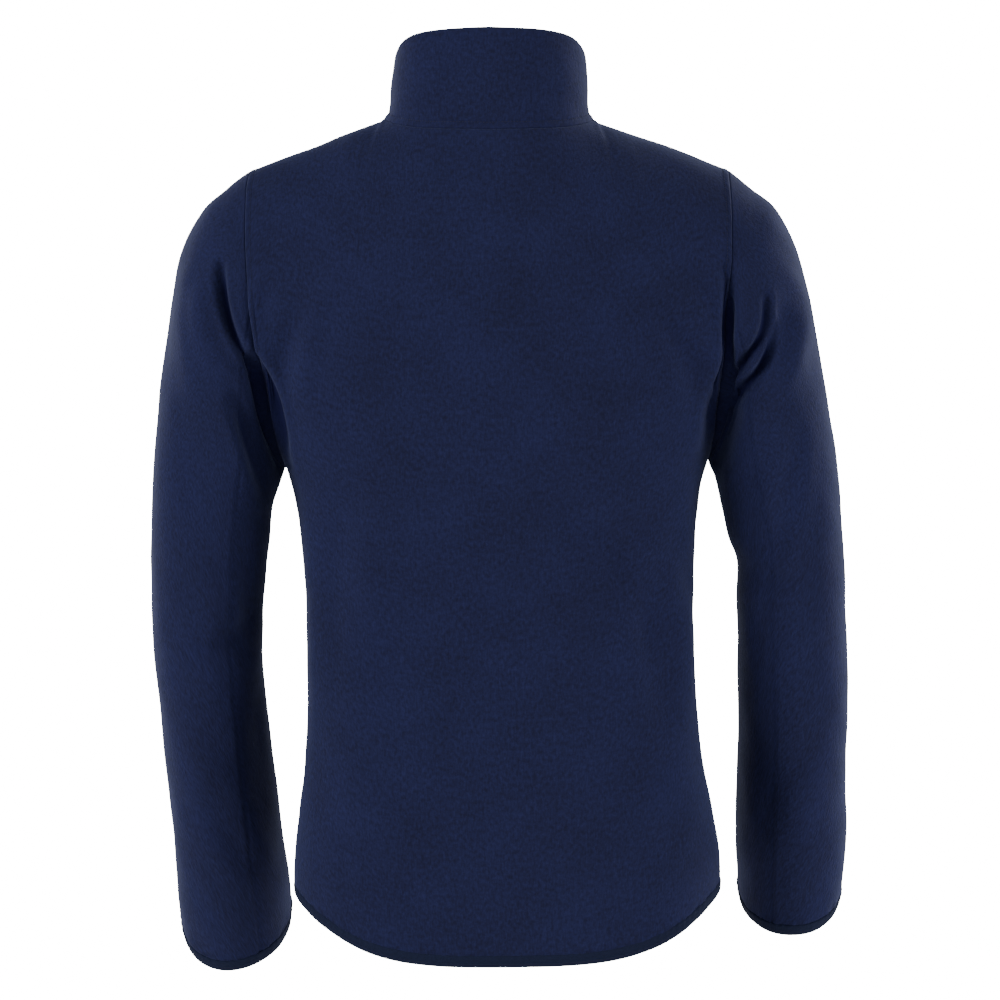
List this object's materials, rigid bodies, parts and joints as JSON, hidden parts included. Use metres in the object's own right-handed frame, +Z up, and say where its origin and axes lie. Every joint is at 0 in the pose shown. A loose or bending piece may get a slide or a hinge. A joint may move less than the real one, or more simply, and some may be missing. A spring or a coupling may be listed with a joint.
{
  "type": "fleece zip jacket",
  "caption": "Hollow long-sleeved fleece jacket with a stand collar, full front zip, dropped back hem and elastic bindings, holding its worn shape with no wearer.",
  "frame": {"origin": "middle of the neck at the height of the neck seam, where the wearer's neck and shoulders hold the jacket up", "axes": "+Z up, the front faces -Y, +X to the wearer's left"},
  "size_m": [0.5793, 0.2633, 0.778],
  "materials": {
    "fleece": "soft brushed navy fleece with a short mottled nap",
    "elastic_binding": "narrow folded stretch binding, darker navy",
    "zip_tape": "fine woven zip tape",
    "zip_teeth": "satin moulded coil",
    "zip_metal": "dark lacquered zinc"
  },
  "bodies": {
    "garment": {"back_panel": "fleece", "front_left": "fleece", "front_right": "fleece", "sleeve_left": "fleece", "sleeve_right": "fleece", "collar": "fleece", "hem_binding": "elastic_binding", "cuff_binding_left": "elastic_binding", "cuff_binding_right": "elastic_binding", "zip_tape_left": "zip_tape", "zip_tape_right": "zip_tape", "zip_chain": "zip_teeth", "zip_slider": "zip_metal", "zip_stop_left": "zip_metal", "zip_stop_right": "zip_metal", "zip_box": "zip_metal"},
    "pull_tab": {"zip_pull": "zip_metal"}
  },
  "joints": [
    {"name": "pull_tab_swing", "type": "hinge", "parent": "garment", "child": "pull_tab", "pos_m": [0.00091, -0.06775, -0.01168], "axis": [-1, 0, 0], "range_deg": [0, 150]}
  ]
}
